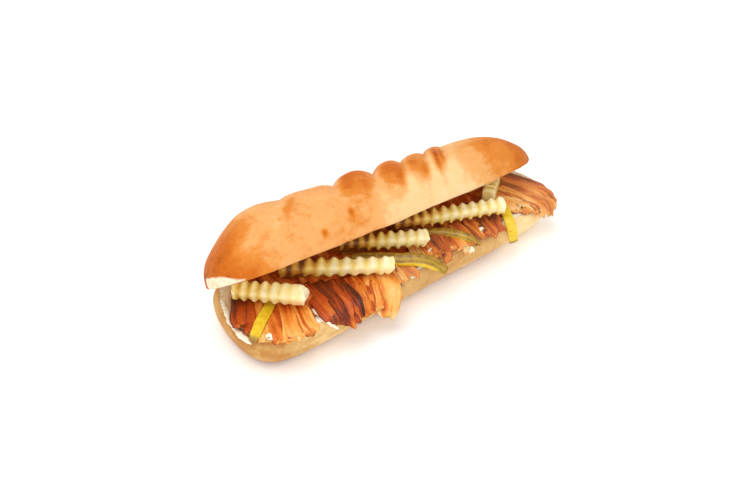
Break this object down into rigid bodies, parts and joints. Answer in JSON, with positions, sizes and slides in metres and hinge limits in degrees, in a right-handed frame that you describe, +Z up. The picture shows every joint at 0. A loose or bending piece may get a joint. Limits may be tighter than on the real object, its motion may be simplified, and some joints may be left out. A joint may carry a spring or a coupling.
{
  "type": "shawarma sandwich",
  "caption": "Long soft roll opened along its back edge and filled with sliced meat on white sauce, crinkle-cut fries and pickle slices; it lies on the flat underside of the roll.",
  "frame": {"origin": "middle of the object's box, on the plane of the roll's flat underside", "axes": "+X along the roll towards its right end, +Y towards the back edge where the roll is joined (the mouth faces -Y), +Z up"},
  "size_m": [0.2487, 0.0934, 0.0808],
  "materials": {
    "crust": "soft baked crust, golden on top and pale along the side",
    "sauce": "glossy white sauce",
    "meat": "roasted meat, orange to dark brown, moist",
    "potato": "fried potato, pale yellow, slightly oily",
    "pickle": "wet pickle, yellow flesh and olive skin"
  },
  "bodies": {
    "root": {"roll_bottom": "crust", "roll_top": "crust", "sauce": "sauce", "meat": "meat", "fry_1": "potato", "fry_2": "potato", "fry_3": "potato", "fry_4": "potato", "fry_5": "potato", "pickle_1": "pickle", "pickle_2": "pickle", "pickle_3": "pickle", "pickle_4": "pickle"}
  },
  "joints": []
}
